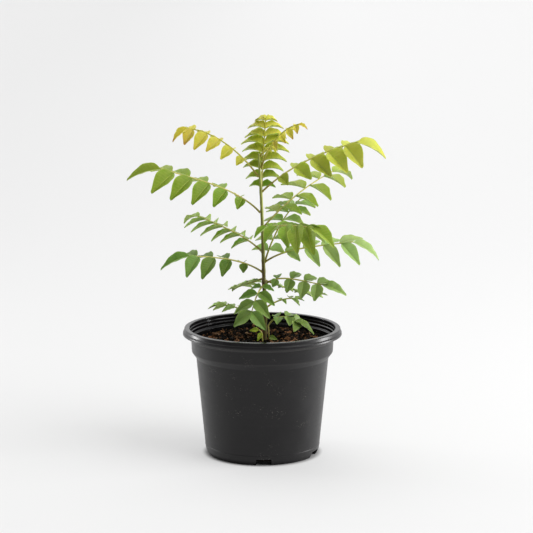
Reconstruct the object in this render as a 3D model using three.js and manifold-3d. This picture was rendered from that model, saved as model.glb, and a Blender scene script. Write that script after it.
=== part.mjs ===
// A young curry leaf plant (Murraya koenigii) growing in a black nursery pot.
// Millimetres, +Z up, origin at the centre of the pot's flat underside.
// Headings are degrees in plan, from +X towards +Y; elevations are degrees above level.

import * as THREE from 'three';
import { mergeVertices } from 'three/addons/utils/BufferGeometryUtils.js';
import Module from 'manifold-3d';

const wasm = await Module();
wasm.setup();

// ---------------------------------------------------------------- driving dimensions

const GAP = 0.3; // clearance between neighbouring pieces

const POT_HEIGHT = 128;
const RIM_RADIUS = 79.7; // outside of the lip's lower bead: a 16 cm pot
const MOUTH_RADIUS = 73.2;
const LIP_DEPTH = 6.5;
const COLLAR_BOTTOM = 104.2; // the pot steps in below its collar
const COLLAR_RADIUS = 71.5;
const WALL_TOP = 98.3; // height where the wall ends and the collar starts to step out
const WALL_TOP_RADIUS = 66.4;
const FOOT_RADIUS = 57.6;
const BASE_RADIUS = 54.7;
const WALL = 2;
const FLOOR = 3;
const POT_SIDES = 36;
const NOTCH = { width: 15.2, height: 6.3, depth: 6, headings: [271.5, 338, 91.5, 158] };

const SOIL_EDGE = 113.5; // height of the soil at the wall
const SOIL_MOUND = 1; // how much higher it stands round the stem
const SOIL_ROUGHNESS = 1;
const SOIL_SIDES = 30;

const STEM_SIDES = 8;
// The stem's slightly wandering centre line: height and sideways offset.
const STEM_LINE = [
  [82, 1.6], [110, 2.2], [140, 2.9], [178, 1.5], [214, 0.6], [241, -0.3], [264, -1.3], [286, -2.5],
  [303, -3.5],
];
const STEM_BASE_RADIUS = 2.3;
const STEM_TOP_RADIUS = 1.3;
const STEM_POINT = { loss: 0.6, suddenness: 16 }; // the last stretch thins by this much more

// Two shoots come up beside the stem: a stalk that ends in the lowest frond, and a small one.
const SIDE_STALK = [[6.8, -1.2, 104], [6.6, -1.2, 118], [6.2, -0.5, 124]];
const SMALL_STALK = [[0.4, -4.4, 104], [0.1, -4.4, 118], [-0.6, -4.4, 123], [-3.4, -4.4, 126.2]];
const STALK_RADIUS = 0.75;
const STALK_LEAF = { length: 9.5, halfWidth: 2.4, curl: 14, lean: new THREE.Vector3(0, -0.85, 0.5) };

const RACHIS_BASE_RADIUS = 0.95;
const RACHIS_TIP_RADIUS = 0.55;
const RACHIS_SIDES = 5;
const RACHIS_STEPS = 7;

const BLADE = 0.7; // thickness of a leaflet
const FIRST_SEED = 101;
const NEW_GROWTH = [200, 275, 400]; // fronds rooted below these heights are dark, mid and new green
const FOLD = 32; // each half of a leaflet is raised this much along the midrib
const OBLIQUE = 0.15; // a leaflet's half towards the frond's tip is this much wider, the other narrower
// A leaflet's half-width at stations along its length, between its stalk and its drawn-out tip.
const BLADE_STATIONS = [[0.12, 0.6], [0.38, 1], [0.68, 0.64]];
const SMALL_BLADE_STATIONS = [[0.22, 0.86], [0.6, 0.8]];
const SMALL_LEAFLET = 23; // leaflets shorter than this have the simpler outline

// What every frond has unless its own row says otherwise.
const COMMON = {
  swing: 0, // change of heading from stem to tip
  sag: 1, // above 1, the frond levels off early; below 1, late
  roll: 0, // turns the frond's left side down
  droop: 20, // both sides hang this far below the frond's plane
  hang: 0, // the last pair droops this much more than the first
  twist: 22, // turns the blades' faces towards the frond's tip
  first: 0.2, // where along the rachis the first and last pairs stand
  last: 0.89,
  wide: 0.26, // widest half-width over the length of a full-size leaflet
  small: 0.6, // size of the first pair against a full-size leaflet
  final: 1, // size of the last pair
  spread: [75, 65], // angle of the first and last pairs to the rachis
  lean: 0, // left leaflets point this much more towards the frond's tip
  stagger: 0.12, // left leaflets stand this part of a spacing before the right ones
  curl: 22, // how far a leaflet bends down along its length
  nod: 16, // the end leaflet tips down this far where it starts, and turns left
  turn: 0,
  end: 1.1, // length of the end leaflet against a full-size one
  open: false, // the last left leaflet is missing
};

// The fronds, from the soil up.
const FRONDS = {
  side_shoot: { height: 129, heading: 10, swing: -20, length: 31, rise: 62, fall: -40, droop: 5,
    pairs: 3, leaf: 15, first: 0.45, last: 0.97, small: 0.8, nod: -18, end: 1.65, roll: -15,
    spread: [105, 58], wide: 0.38, curl: 12, twist: 12 },
  frond_01: { height: 138, heading: 155, swing: 10, length: 46, rise: 18, fall: 8, pairs: 3, leaf: 15,
    first: 0.5, small: 0.8, nod: 22, spread: [60, 45], droop: 15, roll: 15, curl: 10, twist: 8 },
  frond_02: { height: 148, heading: 40, swing: -10, length: 35, rise: 25, fall: -8, droop: 10, pairs: 2,
    leaf: 12, first: 0.55, nod: 0, roll: -20, curl: 12, twist: 8 },
  frond_03: { height: 171, heading: 250, length: 40, rise: -10, fall: -55, droop: 10, pairs: 4, leaf: 25,
    first: 0.14, last: 0.97, small: 0.55, spread: [100, 50], nod: 2, turn: 45, end: 0.95, open: true,
    roll: 5, wide: 0.265, twist: 10 },
  frond_04: { height: 173, heading: 348, length: 58, rise: 38, fall: -10, sag: 3.6, roll: -38, droop: 14,
    pairs: 4, leaf: 19, first: 0.2, last: 0.9, small: 0.52, spread: [125, 80], nod: 0, end: 1.45,
    stagger: 0, lean: 32, twist: 8, wide: 0.32 },
  frond_05: { height: 177, heading: 125, length: 43, rise: -19, fall: -20, droop: 5, pairs: 4, leaf: 16,
    small: 0.8, spread: [75, 75], nod: 0, curl: 9, twist: 0, end: 1 },
  frond_06: { height: 175, heading: 35, length: 65, rise: -24, fall: -13, droop: 5, pairs: 5, leaf: 16,
    spread: [75, 75], nod: -10, curl: 9, twist: 0, end: 1 },
  frond_07: { height: 185, heading: 190, length: 75, rise: 35, fall: 5, sag: 2.4, roll: 30, droop: 30,
    pairs: 4, leaf: 26, first: 0.27, last: 0.89, small: 0.4, spread: [98, 57], nod: 17, end: 1.3,
    wide: 0.265 },
  frond_08: { height: 195, heading: 350, length: 91, rise: 36, fall: 8, sag: 3.5, roll: -36, droop: 22,
    pairs: 4, leaf: 28.5, first: 0.26, last: 0.865, small: 0.56, spread: [50, 55], nod: 36, end: 1.3,
    wide: 0.215, lean: 15 },
  frond_09: { height: 196, heading: 46, swing: 8, length: 80, rise: 66, fall: 24, sag: 1, droop: -8,
    pairs: 6, leaf: 28, wide: 0.24, first: 0.14, last: 0.88, small: 0.8, spread: [88, 88], curl: 25,
    nod: 20, twist: 35 },
  frond_10: { height: 205, heading: 138, length: 90, rise: 32, fall: 12, sag: 3, roll: 6, droop: 13,
    pairs: 6, leaf: 25.5, wide: 0.24, last: 0.91, small: 0.8, spread: [60, 55], curl: 30, nod: 10,
    end: 1, first: 0.23, twist: 30 },
  frond_11: { height: 229, heading: 306, swing: 8, length: 72, rise: 14, fall: 0, roll: -12, droop: 6,
    pairs: 5, leaf: 33, first: 0.12, last: 0.9, small: 0.6, spread: [98, 50], nod: 14, end: 1, hang: 42,
    twist: 10 },
  frond_12: { height: 230, heading: 42, length: 105, rise: 37, fall: 16, roll: -9, droop: 0, pairs: 4,
    leaf: 32, first: 0.27, small: 0.7, spread: [78, 89], stagger: 0.3, end: 1.1, last: 0.88, nod: 17,
    twist: 30 },
  frond_13: { height: 245, heading: 190, length: 109, rise: 47, fall: 17, sag: 2.9, roll: 30, droop: 30,
    pairs: 5, leaf: 32, first: 0.22, small: 0.43, spread: [85, 56], end: 1.2, wide: 0.255, last: 0.89,
    nod: 24 },
  frond_14: { height: 266, heading: 350, length: 107, rise: 44, fall: 17, roll: -27, droop: 33, pairs: 5,
    leaf: 30, first: 0.2, last: 0.88, small: 0.42, spread: [71, 61], nod: 35, end: 1.2, sag: 1.4,
    wide: 0.297 },
  frond_15: { height: 264, heading: 82, length: 77, rise: 74, fall: 58, droop: 0, twist: 46, pairs: 9,
    leaf: 30.5, wide: 0.25, first: 0.07, last: 0.97, small: 0.5, final: 0.43, spread: [66, 62],
    stagger: 0, curl: 58, nod: 0, end: 0.35 },
  frond_16: { height: 281, heading: 192, length: 87, rise: 54, fall: -5, sag: 0.5, roll: 28, droop: 32,
    pairs: 5, leaf: 22.5, first: 0.25, last: 0.915, small: 0.5, spread: [90, 64], nod: 22, end: 0.95,
    wide: 0.27, curl: 22, final: 0.85, stagger: -0.15 },
  frond_17: { height: 290, heading: 335, length: 62, rise: 72, fall: 6, sag: 0.6, roll: -28, droop: 32,
    pairs: 4, leaf: 14, first: 0.48, last: 0.93, small: 0.62, final: 0.7, spread: [106, 81], nod: 20,
    end: 0.75 },
  frond_18: { height: 301, heading: 16, length: 15, rise: 62, fall: 0, roll: -20, droop: 10, pairs: 2,
    leaf: 9, first: 0.6, last: 0.9, small: 0.8, end: 0.9 },
};

// ---------------------------------------------------------------- materials

const finish = (color, roughness) => new THREE.MeshStandardMaterial({ color, roughness, metalness: 0 });

const POT_PLASTIC = finish(0x2c2d2f, 0.5);
const SOIL_BARK = finish(0x2e2119, 0.95);
const STEM_BARK = finish(0x5c5a2e, 0.75);
const LEAF_OLD = finish(0x4c7a35, 0.5);
const LEAF_GREEN = finish(0x6b8f2c, 0.5);
const LEAF_NEW = finish(0xa8982f, 0.5);

// ---------------------------------------------------------------- small tools

const { degToRad } = THREE.MathUtils;
const mix = THREE.MathUtils.lerp;

// A repeatable stream of draws from -1 to 1.
function draws(seed) {
  let state = seed;
  return () => {
    state = (state * 16807) % 2147483647;
    return (2 * state) / 2147483647 - 1;
  };
}

// Adds up vectors, each times its own number: combine(a, 2, b, -1) is 2a - b.
function combine(...terms) {
  const sum = new THREE.Vector3();
  for (let i = 0; i < terms.length; i += 2) sum.addScaledVector(terms[i], terms[i + 1]);
  return sum;
}

function toSolid(geometry) {
  const bare = geometry.clone();
  bare.deleteAttribute('normal');
  bare.deleteAttribute('uv');
  const merged = mergeVertices(bare, 1e-4);
  return new wasm.Manifold(new wasm.Mesh({
    numProp: 3,
    vertProperties: new Float32Array(merged.attributes.position.array),
    triVerts: new Uint32Array(merged.index.array),
  }));
}

function toMesh(name, solid, material) {
  const { vertProperties, triVerts } = solid.getMesh();
  const geometry = new THREE.BufferGeometry();
  geometry.setAttribute('position', new THREE.BufferAttribute(new Float32Array(vertProperties), 3));
  geometry.setIndex(new THREE.BufferAttribute(new Uint32Array(triVerts), 1));
  geometry.computeVertexNormals();
  const mesh = new THREE.Mesh(geometry, material);
  mesh.name = name;
  return mesh;
}

function fromFaces(points, faces) {
  const geometry = new THREE.BufferGeometry().setFromPoints(points);
  geometry.setIndex(faces.flat());
  return toSolid(geometry);
}

// A solid of rings of points, closed at both ends by a point in the middle of the end ring.
function loft(rings) {
  const sides = rings[0].length;
  const points = rings.flat();
  const faces = [];
  for (let row = 0; row < rings.length - 1; row += 1) {
    for (let i = 0; i < sides; i += 1) {
      const a = row * sides + i;
      const b = row * sides + ((i + 1) % sides);
      faces.push([a, b, b + sides], [a, b + sides, a + sides]);
    }
  }
  const top = (rings.length - 1) * sides;
  for (let i = 1; i < sides - 1; i += 1) faces.push([0, i + 1, i], [top, top + i, top + i + 1]);
  return fromFaces(points, faces);
}

// A round, tapering rod along a curve; `loss` and `suddenness` thin its last stretch further.
function rod(curve, steps, sides, baseRadius, tipRadius, { loss, suddenness } = { loss: 0, suddenness: 1 }) {
  const { normals, binormals } = curve.computeFrenetFrames(steps);
  const rings = [];
  for (let i = 0; i <= steps; i += 1) {
    const radius = mix(baseRadius, tipRadius, i / steps) - loss * (i / steps) ** suddenness;
    const centre = curve.getPointAt(i / steps);
    rings.push(Array.from({ length: sides }, (_, k) => {
      const angle = (2 * Math.PI * k) / sides;
      return combine(centre, 1, normals[i], radius * Math.cos(angle), binormals[i], radius * Math.sin(angle));
    }));
  }
  return loft(rings);
}

// ---------------------------------------------------------------- pot

function makePot() {
  const lipBottom = POT_HEIGHT - LIP_DEPTH;
  const profile = [
    [0, 0], [BASE_RADIUS, 0], [FOOT_RADIUS - 0.4, 4.8],
    [FOOT_RADIUS + 0.4, 9.2], [FOOT_RADIUS + 0.2, 10.2], // fine foot line
    [WALL_TOP_RADIUS, WALL_TOP], [COLLAR_RADIUS - 0.7, COLLAR_BOTTOM], [COLLAR_RADIUS - 0.1, lipBottom - 4.6],
    [COLLAR_RADIUS + 2, lipBottom], [COLLAR_RADIUS + 5, POT_HEIGHT - 1.9], // groove under the lip
    [RIM_RADIUS - 1.7, lipBottom], [RIM_RADIUS, lipBottom], [RIM_RADIUS, lipBottom + 2.3],
    [RIM_RADIUS - 1.15, lipBottom + 3.2], [RIM_RADIUS - 1.15, POT_HEIGHT - 0.7], // upper band of the lip
    [RIM_RADIUS - 1.9, POT_HEIGHT], [MOUTH_RADIUS + 0.7, POT_HEIGHT], [MOUTH_RADIUS, POT_HEIGHT - 0.7],
    [MOUTH_RADIUS - 1, lipBottom - 1], [COLLAR_RADIUS - WALL, lipBottom - 2], // ledge inside the collar
    [COLLAR_RADIUS - 1 - WALL, COLLAR_BOTTOM - 0.6], [WALL_TOP_RADIUS - WALL, WALL_TOP - 0.4],
    [BASE_RADIUS - WALL + 0.6, FLOOR], [0, FLOOR],
  ];
  const lathe = new THREE.LatheGeometry(profile.map(([r, z]) => new THREE.Vector2(r, z)), POT_SIDES);
  lathe.rotateX(Math.PI / 2);
  let pot = toSolid(lathe);
  for (const heading of NOTCH.headings) {
    const box = new THREE.BoxGeometry(NOTCH.depth * 2, NOTCH.width, NOTCH.height * 2);
    box.translate(BASE_RADIUS, 0, 0);
    box.rotateZ(degToRad(heading));
    pot = pot.subtract(toSolid(box));
  }
  return toMesh('pot', pot, POT_PLASTIC);
}

// ---------------------------------------------------------------- stem

const stemCurve = new THREE.CatmullRomCurve3(STEM_LINE.map(([z, x]) => new THREE.Vector3(x, 0, z)));

// The stem's centre at a height, read off the straight runs between its measured points.
function stemCentre(height) {
  const above = STEM_LINE.findIndex(([z]) => z > height);
  const [z0, x0] = STEM_LINE[above - 1];
  const [z1, x1] = STEM_LINE[above];
  return new THREE.Vector3(mix(x0, x1, (height - z0) / (z1 - z0)), 0, height);
}

function stemRadius(height) {
  const [base] = STEM_LINE[0];
  const [top] = STEM_LINE[STEM_LINE.length - 1];
  const part = (height - base) / (top - base);
  return mix(STEM_BASE_RADIUS, STEM_TOP_RADIUS, part) - STEM_POINT.loss * part ** STEM_POINT.suddenness;
}

// ---------------------------------------------------------------- soil

// Height of the soil: a low mound with coarse crumbs.
function soilHeight(x, y) {
  const r = Math.hypot(x, y) / COLLAR_RADIUS;
  const crumbs = Math.sin(x * 0.31 + 1) * Math.cos(y * 0.37) + 0.7 * Math.sin(x * 0.13 - y * 0.21 + 2);
  return SOIL_EDGE + SOIL_MOUND * (1 - r * r) + (SOIL_ROUGHNESS * crumbs) / 1.7;
}

function makeSoil(holes) {
  // Clear of the flats of the pot's inner face, which lie nearer the middle than its corners.
  const inside = (radius) => (radius - WALL) * Math.cos(Math.PI / POT_SIDES) - GAP;
  const edge = inside(COLLAR_RADIUS - 1);
  const profile = [
    [0, FLOOR + GAP], [inside(BASE_RADIUS), FLOOR + GAP], [inside(WALL_TOP_RADIUS), WALL_TOP],
    [inside(COLLAR_RADIUS - 1.2), COLLAR_BOTTOM + 0.2],
    ...[1, 0.8, 0.6, 0.4, 0.2, 0].map((part) => [edge * part, SOIL_EDGE]),
  ];
  const lathe = new THREE.LatheGeometry(profile.map(([r, z]) => new THREE.Vector2(r, z)), SOIL_SIDES);
  lathe.rotateX(Math.PI / 2);
  const { position } = lathe.attributes;
  for (let i = 0; i < position.count; i += 1) {
    if (position.getZ(i) > SOIL_EDGE - 0.01) position.setZ(i, soilHeight(position.getX(i), position.getY(i)));
  }
  let soil = toSolid(lathe);
  for (const hole of holes) soil = soil.subtract(hole);
  return toMesh('soil', soil, SOIL_BARK);
}

// ---------------------------------------------------------------- leaflets

// A thin, folded blade that starts at `root`, points along `along` and bends down away from `face`.
function leaflet({ root, along, face, length, halfWidth, curl, oblique = 0 }) {
  const across = new THREE.Vector3().crossVectors(face, along);
  const bend = degToRad(curl);
  const raise = Math.tan(degToRad(FOLD));
  const stations = length < SMALL_LEAFLET ? SMALL_BLADE_STATIONS : BLADE_STATIONS;
  const sheet = [[0, 0], ...stations, [1, 0]].flatMap(([s, half]) => {
    const angle = bend * s;
    const middle = combine(
      root, 1, along, (length * Math.sin(angle)) / bend, face, (-length * (1 - Math.cos(angle))) / bend,
    );
    const normal = combine(along, Math.sin(angle), face, Math.cos(angle));
    const sides = half === 0 ? [0] : [-1, 0, 1];
    return sides.map((side) => {
      const reach = side * half * halfWidth * (1 + side * oblique);
      return { point: combine(middle, 1, across, reach, normal, Math.abs(reach) * raise), normal };
    });
  });
  const points = [BLADE / 2, -BLADE / 2].flatMap(
    (offset) => sheet.map(({ point, normal }) => combine(point, 1, normal, offset)),
  );
  const under = sheet.length;
  const tip = under - 1;
  const faces = [];
  const skin = (a, b, c) => faces.push([a, b, c], [under + a, under + c, under + b]);
  const edge = (a, b) => faces.push([a, under + a, under + b], [a, under + b, b]);
  skin(0, 1, 2);
  skin(0, 2, 3);
  edge(0, 1);
  edge(3, 0);
  for (let left = 1; left + 3 < tip; left += 3) {
    const [middle, right] = [left + 1, left + 2];
    skin(left, left + 3, middle);
    skin(middle, left + 3, middle + 3);
    skin(middle, middle + 3, right);
    skin(right, middle + 3, right + 3);
    edge(left, left + 3);
    edge(right + 3, right);
  }
  skin(tip - 3, tip, tip - 2);
  skin(tip - 2, tip, tip - 1);
  edge(tip - 3, tip);
  edge(tip, tip - 1);
  return fromFaces(points, faces);
}

// ---------------------------------------------------------------- fronds

function elevationAt(frond, s) {
  return degToRad(frond.fall + (frond.rise - frond.fall) * (1 - s) ** frond.sag);
}

function headingAt(frond, s) {
  return degToRad(frond.heading + frond.swing * s);
}

function directionAt(frond, s) {
  const level = Math.cos(elevationAt(frond, s));
  const heading = headingAt(frond, s);
  return new THREE.Vector3(
    level * Math.cos(heading), level * Math.sin(heading), Math.sin(elevationAt(frond, s)),
  );
}

// The frond's arched rachis, which starts just clear of the stem's bark.
function rachisCurve(frond) {
  const outward = new THREE.Vector3(Math.cos(degToRad(frond.heading)), Math.sin(degToRad(frond.heading)), 0);
  const slant = RACHIS_BASE_RADIUS * Math.abs(Math.sin(degToRad(frond.rise)));
  const clear = stemRadius(frond.height) + GAP + slant;
  const points = [combine(stemCentre(frond.height), 1, outward, clear)];
  const steps = 24;
  for (let i = 0; i < steps; i += 1) {
    const step = directionAt(frond, (i + 0.5) / steps).multiplyScalar(frond.length / steps);
    points.push(step.add(points[i]));
  }
  return new THREE.CatmullRomCurve3(points);
}

// The frond's own axes at a place on its rachis: out along it, to its left, and its upper side.
function axesAt(frond, s) {
  const out = directionAt(frond, s);
  const heading = headingAt(frond, s);
  const left = new THREE.Vector3(-Math.sin(heading), Math.cos(heading), 0);
  const upper = new THREE.Vector3().crossVectors(out, left);
  const roll = degToRad(frond.roll);
  return {
    out,
    left: combine(left, Math.cos(roll), upper, -Math.sin(roll)),
    upper: combine(upper, Math.cos(roll), left, Math.sin(roll)),
  };
}

// Size of a pair of leaflets, where u goes from 0 at the first pair to 1 at the last.
function pairSize(frond, u) {
  return 1 - (1 - frond.small) * (1 - u) ** 2.5 - (1 - frond.final) * u ** 4;
}

function sideLeaflet(frond, curve, u, side, draw) {
  const spacing = (frond.last - frond.first) / (frond.pairs - 1);
  const s = mix(frond.first, frond.last, u) - (side > 0 ? frond.stagger * spacing : 0);
  const { out, left, upper } = axesAt(frond, s);
  const size = pairSize(frond, u) * (1 + 0.05 * draw());
  const lean = side > 0 ? frond.lean : 0;
  const spread = degToRad(mix(frond.spread[1], frond.spread[0], (1 - u) ** 2.5) - lean + 4 * draw());
  const droop = degToRad(frond.droop + frond.hang * u + 5 * draw());
  const away = combine(left, side * Math.cos(droop), upper, -Math.sin(droop));
  const along = combine(out, Math.cos(spread), away, Math.sin(spread));
  const flat = combine(upper, Math.cos(droop), left, side * Math.sin(droop));
  const forward = new THREE.Vector3().crossVectors(along, flat).multiplyScalar(side);
  const twist = degToRad(frond.twist);
  return leaflet({
    root: curve.getPointAt(s),
    along,
    face: combine(flat, Math.cos(twist), forward, Math.sin(twist)),
    length: frond.leaf * size,
    halfWidth: frond.leaf * frond.wide * Math.sqrt(size),
    curl: frond.curl,
    oblique: -side * OBLIQUE,
  });
}

function endLeaflet(frond, curve) {
  const { out, left, upper } = axesAt(frond, 1);
  const turn = degToRad(frond.turn);
  const nod = degToRad(frond.nod);
  const level = combine(out, Math.cos(turn), left, Math.sin(turn));
  return leaflet({
    root: combine(curve.getPointAt(1), 1, level, -0.8),
    along: combine(level, Math.cos(nod), upper, -Math.sin(nod)),
    face: combine(upper, Math.cos(nod), level, Math.sin(nod)),
    length: frond.leaf * frond.end,
    halfWidth: frond.leaf * frond.wide * 0.95 * Math.min(1, frond.end),
    curl: 1.7 * frond.curl,
  });
}

function makeFrond(row, seed) {
  const frond = { ...COMMON, ...row };
  const draw = draws(seed);
  const curve = rachisCurve(frond);
  let solid = rod(curve, RACHIS_STEPS, RACHIS_SIDES, RACHIS_BASE_RADIUS, RACHIS_TIP_RADIUS);
  for (let pair = 0; pair < frond.pairs; pair += 1) {
    for (const side of [1, -1]) {
      const blade = sideLeaflet(frond, curve, pair / (frond.pairs - 1), side, draw);
      const missing = frond.open && pair === frond.pairs - 1 && side > 0;
      if (!missing) solid = solid.add(blade);
    }
  }
  return solid.add(endLeaflet(frond, curve));
}

// ---------------------------------------------------------------- shoots at the foot of the stem

const toCurve = (points) => new THREE.CatmullRomCurve3(points.map((point) => new THREE.Vector3(...point)));

// A single small leaf that leans to the front; `to` is the way it points.
function stalkLeaf(root, to) {
  const along = new THREE.Vector3(...to).normalize();
  const across = new THREE.Vector3().crossVectors(along, STALK_LEAF.lean).normalize();
  const face = new THREE.Vector3().crossVectors(across, along);
  const { length, halfWidth, curl } = STALK_LEAF;
  return leaflet({ root: new THREE.Vector3(...root), along, face, length, halfWidth, curl });
}

function makeSideShoot(row, seed) {
  const joint = rachisCurve({ ...COMMON, ...row }).getPointAt(0);
  const stalk = rod(toCurve([...SIDE_STALK, joint.toArray()]), 6, RACHIS_SIDES, STALK_RADIUS, STALK_RADIUS);
  return makeFrond(row, seed).add(stalk).add(stalkLeaf(SIDE_STALK[1], [0.85, -0.45, -0.1]));
}

function makeSmallShoot() {
  const tip = SMALL_STALK[SMALL_STALK.length - 1];
  return rod(toCurve(SMALL_STALK), 8, RACHIS_SIDES, STALK_RADIUS, RACHIS_TIP_RADIUS)
    .add(stalkLeaf(tip, [-1, -0.1, -0.05]))
    .add(stalkLeaf(SMALL_STALK[2], [-0.5, -0.45, -0.74]));
}

// The plain hole that a buried stalk stands in.
function holeFor([[x0, y0, z0], [x1, y1, z1]], radius) {
  const line = new THREE.LineCurve3(new THREE.Vector3(x0, y0, z0 - GAP), new THREE.Vector3(x1, y1, z1));
  return rod(line, 1, STEM_SIDES, radius, radius);
}

// ---------------------------------------------------------------- the whole plant

const plant = new THREE.Group();
const [[stemFoot, stemFootX], [, stemCollarX]] = STEM_LINE;
const aboveSoil = SOIL_EDGE + 10;

plant.add(makePot());
plant.add(makeSoil([
  holeFor([[stemFootX, 0, stemFoot], [stemCollarX, 0, aboveSoil]], STEM_BASE_RADIUS + 2 * GAP),
  holeFor(SIDE_STALK, STALK_RADIUS + 1.5 * GAP),
  holeFor(SMALL_STALK, STALK_RADIUS + 1.5 * GAP),
]));
const stem = rod(stemCurve, 14, STEM_SIDES, STEM_BASE_RADIUS, STEM_TOP_RADIUS, STEM_POINT);
plant.add(toMesh('stem', stem, STEM_BARK));
plant.add(toMesh('small_shoot', makeSmallShoot(), LEAF_GREEN));
Object.entries(FRONDS).forEach(([name, row], index) => {
  const solid = name === 'side_shoot' ? makeSideShoot(row, FIRST_SEED) : makeFrond(row, FIRST_SEED + index);
  const material = [LEAF_OLD, LEAF_GREEN, LEAF_NEW].find((_, age) => row.height < NEW_GROWTH[age]);
  plant.add(toMesh(name, solid, material));
});

export default plant;
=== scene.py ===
from math import cos, exp, hypot, pi, radians, sin, sqrt, tan
from random import Random
from types import SimpleNamespace

import bmesh
import bpy
from mathutils import Matrix, Vector, noise


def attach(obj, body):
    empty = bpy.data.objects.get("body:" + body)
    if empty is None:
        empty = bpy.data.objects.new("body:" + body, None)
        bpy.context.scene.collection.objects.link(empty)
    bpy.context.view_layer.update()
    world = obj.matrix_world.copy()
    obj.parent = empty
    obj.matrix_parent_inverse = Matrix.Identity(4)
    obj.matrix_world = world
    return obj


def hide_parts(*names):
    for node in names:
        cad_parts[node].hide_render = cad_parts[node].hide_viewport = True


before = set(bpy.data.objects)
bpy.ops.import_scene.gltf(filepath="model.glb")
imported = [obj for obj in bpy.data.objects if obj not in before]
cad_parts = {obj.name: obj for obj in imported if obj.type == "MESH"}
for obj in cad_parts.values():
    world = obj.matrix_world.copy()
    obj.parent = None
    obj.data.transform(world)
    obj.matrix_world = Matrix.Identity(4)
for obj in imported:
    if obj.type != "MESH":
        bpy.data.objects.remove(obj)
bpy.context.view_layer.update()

MM = 0.001

# ---------------- pot
# An injection-moulded nursery pot in black polypropylene: two-tier lip, collar, tapered wall, and a foot
# with four notches that let the water out. It is one moulding, turned here from its section.

POT_SIDES, POT_CREASE = 144, 32
# The section, from the middle of the underside round to the middle of the floor: radius, height and corner
# radius, in millimetres.
POT_SECTION = [
    (0, 0, 0), (30, 0, 0), (30.6, 0.7, 0.3), (32.4, 0.7, 0.3), (33, 0, 0), (54.7, 0, 0.7), (57.2, 4.8, 2),
    (57.7, 8.7, 0.25), (57.9, 9, 0.3), (57.92, 9.7, 0.3), (57.8, 10.2, 0.3), (66.4, 98.3, 0.8),
    (70.8, 104.2, 0.8), (71.4, 116.9, 0.4), (72.7, 117.9, 0.4), (73.4, 121.5, 0.4), (76.5, 126.1, 0.6),
    (78, 121.5, 0.3), (79.7, 121.5, 0.5), (79.4, 124, 0.7), (78.5, 124.6, 0.3), (78.05, 128, 0.6),
    (73.2, 128, 0.5), (73.2, 124.7, 0.2), (72.8, 124.2, 0.2), (72.95, 121.6, 0.2), (72, 121, 0.2),
    (72.1, 118.1, 0.3), (69.9, 117, 0.4), (68.5, 103.6, 1.5), (64.4, 97.9, 1.5), (53.3, 3, 1.2), (0, 3, 0),
]
# Each corner is an arc of this many steps, and takes up at most this share of the sides that meet there.
CORNER_STEPS, CORNER_SHARE = 4, 0.45
# Water drains through notches in the foot, at these headings in plan.
NOTCH_HEADINGS = (271.5, 338, 91.5, 158)
NOTCH_WIDTH, NOTCH_HEIGHT, NOTCH_REACH, NOTCH_RADIUS, NOTCH_CORNER = 15.2, 6.3, 6, 54.7, 0.8


def rounded(section):
    """The section's points with each corner turned into a small arc."""
    points = []
    for index, (r, z, radius) in enumerate(section):
        corner = Vector((r, z))
        if radius == 0 or index in (0, len(section) - 1):
            points.append(corner)
            continue
        back = Vector(section[index - 1][:2]) - corner
        ahead = Vector(section[index + 1][:2]) - corner
        reach = min(radius, CORNER_SHARE * back.length, CORNER_SHARE * ahead.length)
        start, end = corner + back.normalized() * reach, corner + ahead.normalized() * reach
        for step in range(CORNER_STEPS + 1):
            t = step / CORNER_STEPS
            points.append(start * (1 - t) ** 2 + corner * 2 * t * (1 - t) + end * t * t)
    return points


def turned(name, points, sides):
    """A closed piece turned about the upright axis; the section starts and ends on the axis."""
    mesh = bmesh.new()
    angles = [2 * pi * side / sides for side in range(sides)]
    rings = []
    for point in points:
        if point.x == 0:
            rings.append([mesh.verts.new((0, 0, point.y * MM))])
            continue
        rings.append([mesh.verts.new((point.x * cos(a) * MM, point.x * sin(a) * MM, point.y * MM))
                      for a in angles])
    for low, high in zip(rings, rings[1:]):
        for side in range(sides):
            after = (side + 1) % sides
            corners = [low[side % len(low)], low[after % len(low)], high[after % len(high)],
                       high[side % len(high)]]
            mesh.faces.new(list(dict.fromkeys(corners)))
    return finished(name, mesh)


def new_object(name, data):
    """A new object in the scene, at the origin."""
    made = bpy.data.objects.new(name, data)
    bpy.context.scene.collection.objects.link(made)
    return made


def finished(name, mesh):
    """Puts a built mesh into the scene as an object of its own."""
    data = bpy.data.meshes.new(name)
    mesh.to_mesh(data)
    mesh.free()
    return new_object(name, data)


def applied(piece):
    """Turns an object with modifiers into a plain mesh object of the same name."""
    name = piece.name
    graph = bpy.context.evaluated_depsgraph_get()
    mesh = bpy.data.meshes.new_from_object(piece.evaluated_get(graph), preserve_all_data_layers=True,
                                           depsgraph=graph)
    bpy.data.objects.remove(piece)
    return new_object(name, mesh)


def shade(piece, crease):
    """Smooth shading that breaks where faces meet at more than this angle, in degrees."""
    piece.data.shade_smooth()
    piece.data.set_sharp_from_angle(angle=radians(crease))


pot = turned("nursery_pot", rounded(POT_SECTION), POT_SIDES)
for heading in NOTCH_HEADINGS:
    cutter = bmesh.new()
    bmesh.ops.create_cube(cutter, size=1)
    size = Vector((2 * NOTCH_REACH, NOTCH_WIDTH, 2 * NOTCH_HEIGHT)) * MM
    cutter.transform(Matrix.Diagonal((*size, 1)))
    bmesh.ops.bevel(cutter, geom=cutter.edges[:], offset=NOTCH_CORNER * MM, segments=3, affect="EDGES",
                    profile=0.5)
    turn = Matrix.Rotation(radians(heading), 4, "Z")
    cutter.transform(turn @ Matrix.Translation((NOTCH_RADIUS * MM, 0, 0)))
    notch = finished("notch", cutter)
    cut = pot.modifiers.new("notch", "BOOLEAN")
    cut.operation, cut.solver, cut.object = "DIFFERENCE", "EXACT", notch
    pot = applied(pot)
    bpy.data.objects.remove(notch)
shade(pot, POT_CREASE)


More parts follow.
